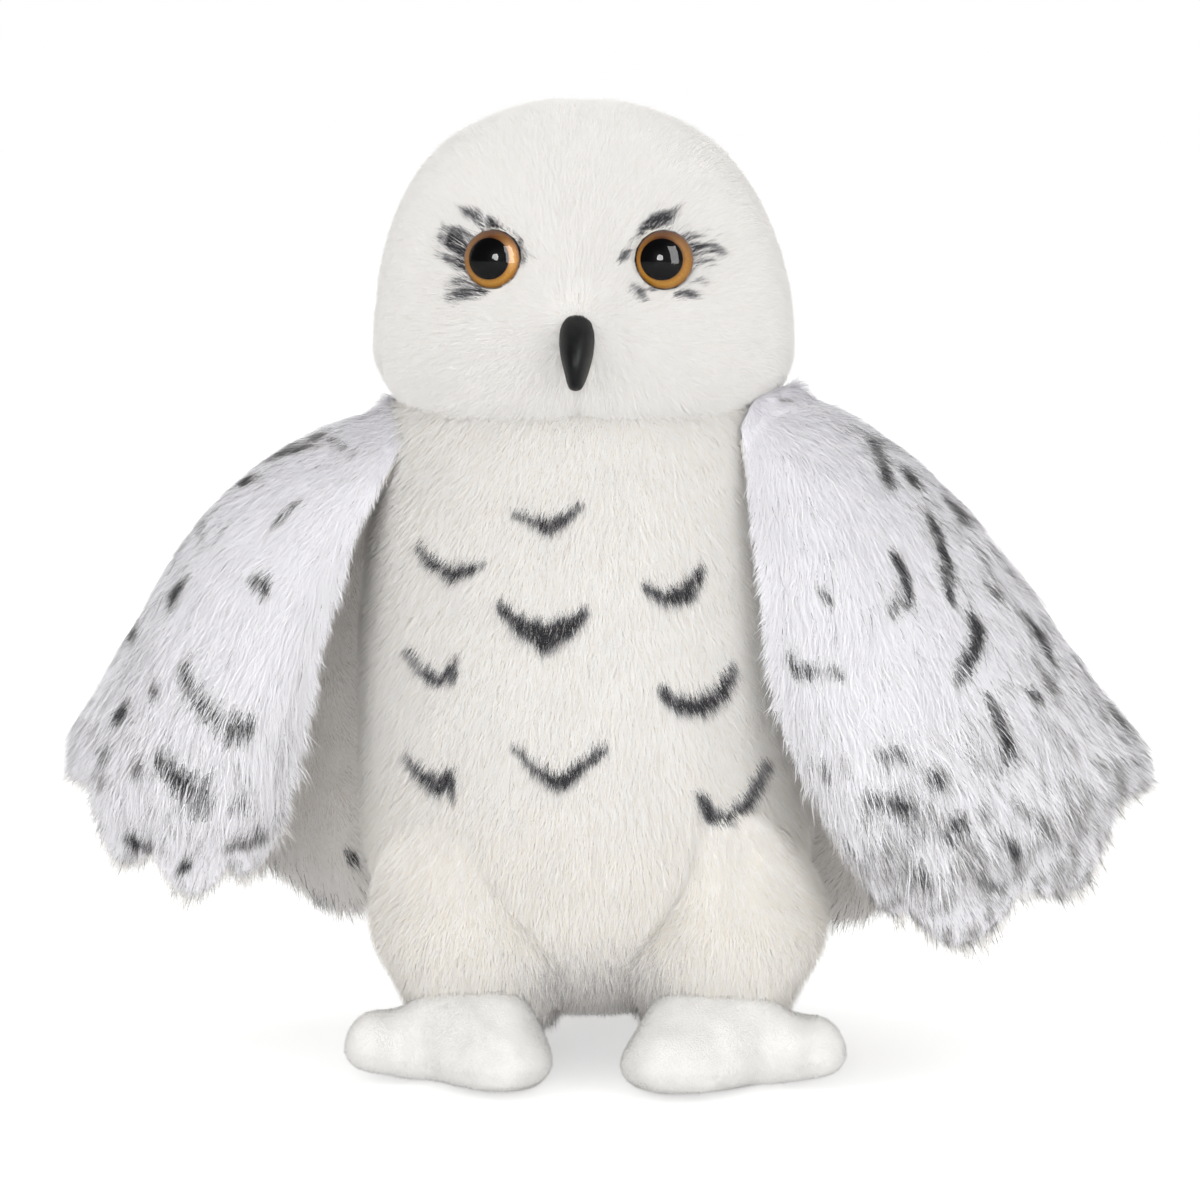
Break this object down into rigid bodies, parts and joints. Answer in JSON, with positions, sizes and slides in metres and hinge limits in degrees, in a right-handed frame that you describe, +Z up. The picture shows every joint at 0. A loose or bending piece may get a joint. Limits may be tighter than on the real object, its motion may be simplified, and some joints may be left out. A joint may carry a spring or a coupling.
{
  "type": "plush owl",
  "caption": "White stuffed owl with spread wings, amber eyes, black beak and lobed feet; it stands on its feet and tail, and its head, wings, legs and feet move.",
  "frame": {"origin": "on the floor, below the middle of the owl's box", "axes": "+Z up, face towards -Y, +X to the viewer's right; sides are named as the viewer sees them"},
  "size_m": [0.3472, 0.1772, 0.3],
  "materials": {
    "white_pile": "matte",
    "wing_pile": "matte",
    "wing_lining": "matte",
    "velour": "matte",
    "stuffing": "matte",
    "pellet_cloth": "matte",
    "black_plastic": "satin",
    "eye_black": "gloss",
    "amber_plastic": "gloss",
    "clear_plastic": "gloss",
    "washer_plastic": "matte"
  },
  "bodies": {
    "torso": {"body_belly_panel": "white_pile", "body_back_panel_left": "white_pile", "body_back_panel_right": "white_pile", "body_stuffing": "stuffing", "pellet_bag": "pellet_cloth", "tail_upper_panel": "white_pile", "tail_wadding": "stuffing", "tail_under_panel": "white_pile"},
    "head": {"head_face_panel_left": "white_pile", "head_face_panel_right": "white_pile", "head_back_panel": "white_pile", "head_stuffing": "stuffing", "beak": "black_plastic", "beak_washer": "washer_plastic", "eye_lens_left": "clear_plastic", "eye_pupil_left": "eye_black", "eye_iris_left": "amber_plastic", "eye_back_left": "eye_black", "eye_washer_left": "washer_plastic", "eye_lens_right": "clear_plastic", "eye_pupil_right": "eye_black", "eye_iris_right": "amber_plastic", "eye_back_right": "eye_black", "eye_washer_right": "washer_plastic"},
    "wing_left": {"wing_outer_panel_left": "wing_pile", "wing_wadding_left": "stuffing", "wing_lining_left": "wing_lining"},
    "wing_right": {"wing_outer_panel_right": "wing_pile", "wing_wadding_right": "stuffing", "wing_lining_right": "wing_lining"},
    "leg_left": {"leg_cover_left": "white_pile", "leg_stuffing_left": "stuffing"},
    "leg_right": {"leg_cover_right": "white_pile", "leg_stuffing_right": "stuffing"},
    "foot_left": {"foot_upper_left": "velour", "foot_sole_left": "velour", "foot_stuffing_left": "stuffing"},
    "foot_right": {"foot_upper_right": "velour", "foot_sole_right": "velour", "foot_stuffing_right": "stuffing"}
  },
  "joints": [
    {"name": "head_turn", "type": "hinge", "parent": "torso", "child": "head", "pos_m": [-0.00483, -0.00739, 0.207], "axis": [0, 0, 1], "range_deg": [-15, 15], "stiffness_Nm_per_rad": 0.3},
    {"name": "wing_left_lift", "type": "hinge", "parent": "torso", "child": "wing_left", "pos_m": [-0.06483, -0.00739, 0.203], "axis": [0, 1, 0], "range_deg": [0, 55]},
    {"name": "hip_left", "type": "hinge", "parent": "torso", "child": "leg_left", "pos_m": [-0.04008, -0.03739, 0.05], "axis": [-1, 0, 0], "range_deg": [-7, 35], "stiffness_Nm_per_rad": 4},
    {"name": "ankle_left", "type": "hinge", "parent": "leg_left", "child": "foot_left", "pos_m": [-0.04008, -0.03739, 0.027], "axis": [-1, 0, 0], "range_deg": [-6, 10], "stiffness_Nm_per_rad": 3},
    {"name": "wing_right_lift", "type": "hinge", "parent": "torso", "child": "wing_right", "pos_m": [0.05517, -0.00739, 0.203], "axis": [0, -1, 0], "range_deg": [0, 55]},
    {"name": "hip_right", "type": "hinge", "parent": "torso", "child": "leg_right", "pos_m": [0.04042, -0.03739, 0.05], "axis": [-1, 0, 0], "range_deg": [-7, 35], "stiffness_Nm_per_rad": 4},
    {"name": "ankle_right", "type": "hinge", "parent": "leg_right", "child": "foot_right", "pos_m": [0.04042, -0.03739, 0.027], "axis": [-1, 0, 0], "range_deg": [-6, 10], "stiffness_Nm_per_rad": 3}
  ]
}
